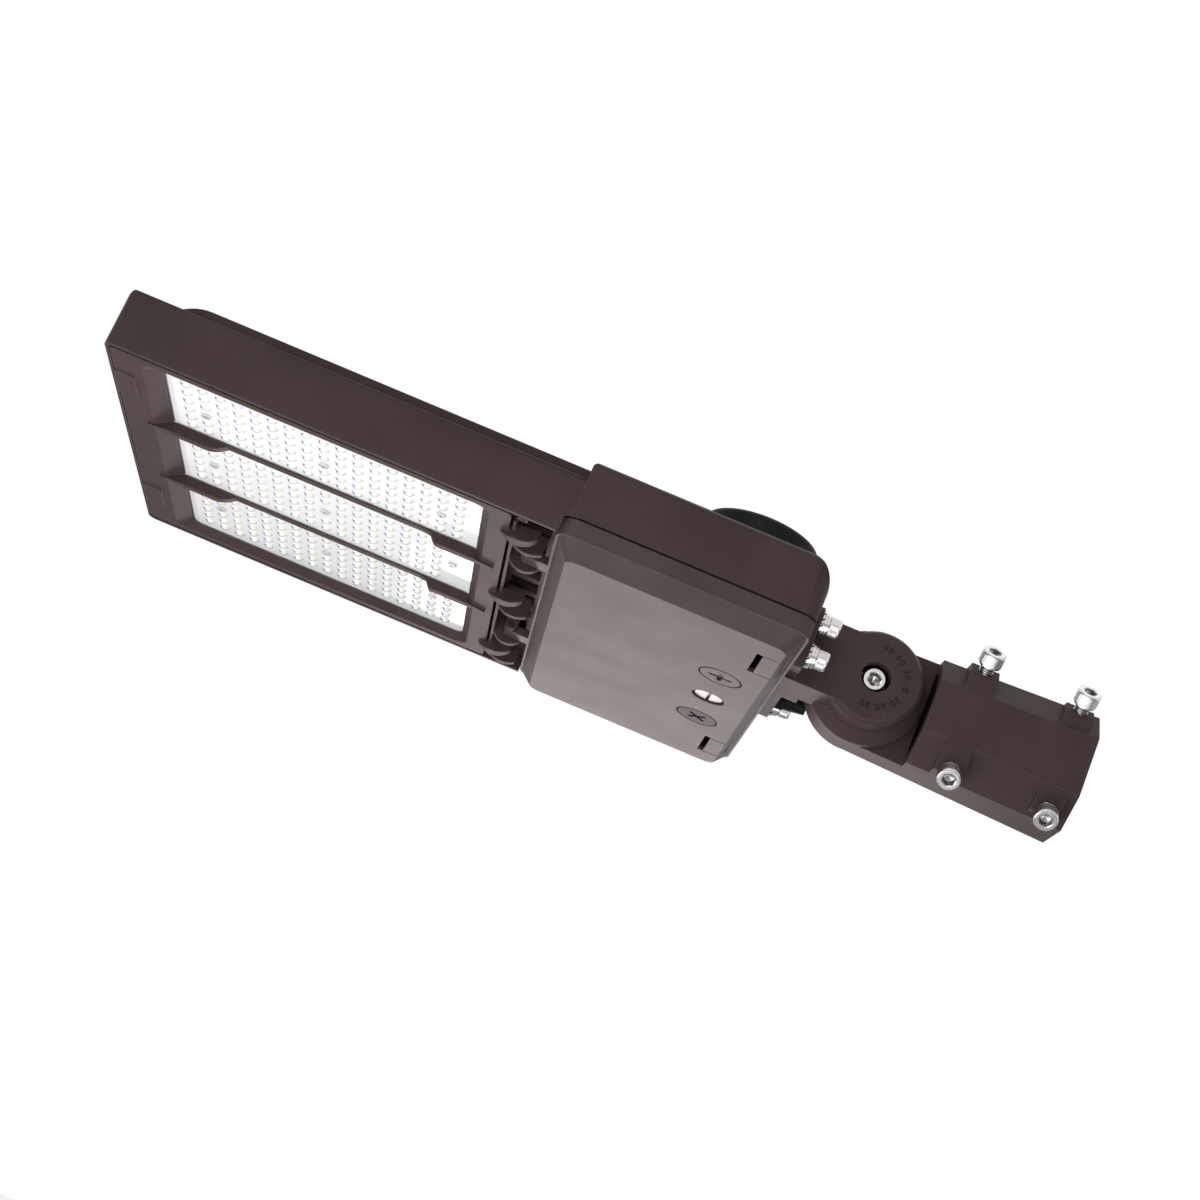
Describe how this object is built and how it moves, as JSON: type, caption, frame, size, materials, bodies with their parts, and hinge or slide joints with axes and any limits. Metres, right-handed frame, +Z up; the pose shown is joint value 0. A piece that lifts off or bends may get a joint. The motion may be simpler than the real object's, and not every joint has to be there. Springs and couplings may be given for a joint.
{
  "type": "shoebox area light",
  "caption": "Flat outdoor area light with lens windows, cooling fins, a hinged driver door, a photocell shorting cap and a tilting toothed knuckle on an octagonal slip fitter.",
  "frame": {"origin": "centre of the slip fitter's mouth, on the axis of its socket", "axes": "+X out of the mouth along the tenon, -X towards the head, +Z up on the cap's side, light leaves towards -Z, -Y is the knuckle arm's side"},
  "size_m": [0.657, 0.33, 0.1303],
  "materials": {
    "bronze_paint": "satin powder coat",
    "door_paint": "satin powder coat",
    "zinc_steel": "bright zinc",
    "nickel_steel": "nickel plated",
    "black_rubber": "matt",
    "silicone": "matt",
    "black_plastic": "fine texture",
    "lens_acrylic": "clear moulded",
    "board_white": "solder mask",
    "driver_case": "plain",
    "white_plastic": "plain",
    "grey_plastic": "plain"
  },
  "bodies": {
    "fitter": {"slip_fitter": "bronze_paint", "clamp_screws": "zinc_steel", "knuckle_bolt": "zinc_steel", "knuckle_spring_washer": "zinc_steel", "knuckle_washer": "zinc_steel", "knuckle_nut": "zinc_steel"},
    "door": {"driver_door": "door_paint", "door_gasket": "black_rubber", "latch_pins": "zinc_steel", "plug_seals": "black_rubber", "selector_switches": "grey_plastic"},
    "latch_near": {"door_latch_near": "door_paint"},
    "latch_far": {"door_latch_far": "door_paint"},
    "door_screw": {"door_screw": "nickel_steel", "screw_retainer": "zinc_steel"},
    "power_plug": {"power_plug": "door_paint"},
    "colour_plug": {"colour_plug": "grey_plastic"},
    "cap": {"shorting_cap": "black_plastic"},
    "head": {"knuckle_bracket": "bronze_paint", "bracket_gasket": "black_rubber", "bracket_bolts": "zinc_steel", "bracket_spring_washers": "zinc_steel", "bracket_flat_washers": "zinc_steel", "bracket_lock_washers": "zinc_steel", "cable_gland": "black_plastic", "heat_sink": "bronze_paint", "side_walls": "bronze_paint", "cross_web": "bronze_paint", "gap_ribs": "bronze_paint", "driver_box": "bronze_paint", "joint_screws": "zinc_steel", "lens_frame": "bronze_paint", "frame_screws": "zinc_steel", "frame_gasket": "black_rubber", "lens_near": "lens_acrylic", "lens_middle": "lens_acrylic", "lens_far": "lens_acrylic", "lens_seals": "silicone", "lens_screws": "zinc_steel", "board_near": "board_white", "board_middle": "board_white", "board_far": "board_white", "hinge_pins": "zinc_steel", "led_driver": "driver_case", "driver_screws": "zinc_steel", "surge_protector": "black_plastic", "terminal_block": "white_plastic", "photocell_receptacle": "black_plastic", "receptacle_gasket": "black_rubber", "receptacle_screws": "zinc_steel"}
  },
  "joints": [
    {"name": "knuckle_tilt", "type": "hinge", "parent": "fitter", "child": "head", "pos_m": [-0.148, 0, 0], "axis": [0, 1, 0], "range_deg": [-90, 90]},
    {"name": "door_hinge", "type": "hinge", "parent": "head", "child": "door", "pos_m": [-0.381, 0, -0.0288], "axis": [0, 1, 0], "range_deg": [0, 95]},
    {"name": "latch_near_pull", "type": "hinge", "parent": "door", "child": "latch_near", "pos_m": [-0.2155, -0.1085, -0.0353], "axis": [0, -1, 0], "range_deg": [0, 15], "stiffness_Nm_per_rad": 0.2},
    {"name": "latch_far_pull", "type": "hinge", "parent": "door", "child": "latch_far", "pos_m": [-0.2155, 0.1085, -0.0353], "axis": [0, -1, 0], "range_deg": [0, 15], "stiffness_Nm_per_rad": 0.2},
    {"name": "door_screw_turn", "type": "hinge", "parent": "door", "child": "door_screw", "pos_m": [-0.241, 0, -0.0413], "axis": [0, 0, -1], "continuous": true},
    {"name": "power_plug_turn", "type": "hinge", "parent": "door", "child": "power_plug", "pos_m": [-0.241, -0.0525, -0.0413], "axis": [0, 0, -1], "continuous": true},
    {"name": "colour_plug_turn", "type": "hinge", "parent": "door", "child": "colour_plug", "pos_m": [-0.241, 0.0525, -0.0413], "axis": [0, 0, -1], "continuous": true},
    {"name": "cap_twist", "type": "hinge", "parent": "head", "child": "cap", "pos_m": [-0.248, 0, 0.0467], "axis": [0, 0, 1], "range_deg": [0, 30]}
  ]
}
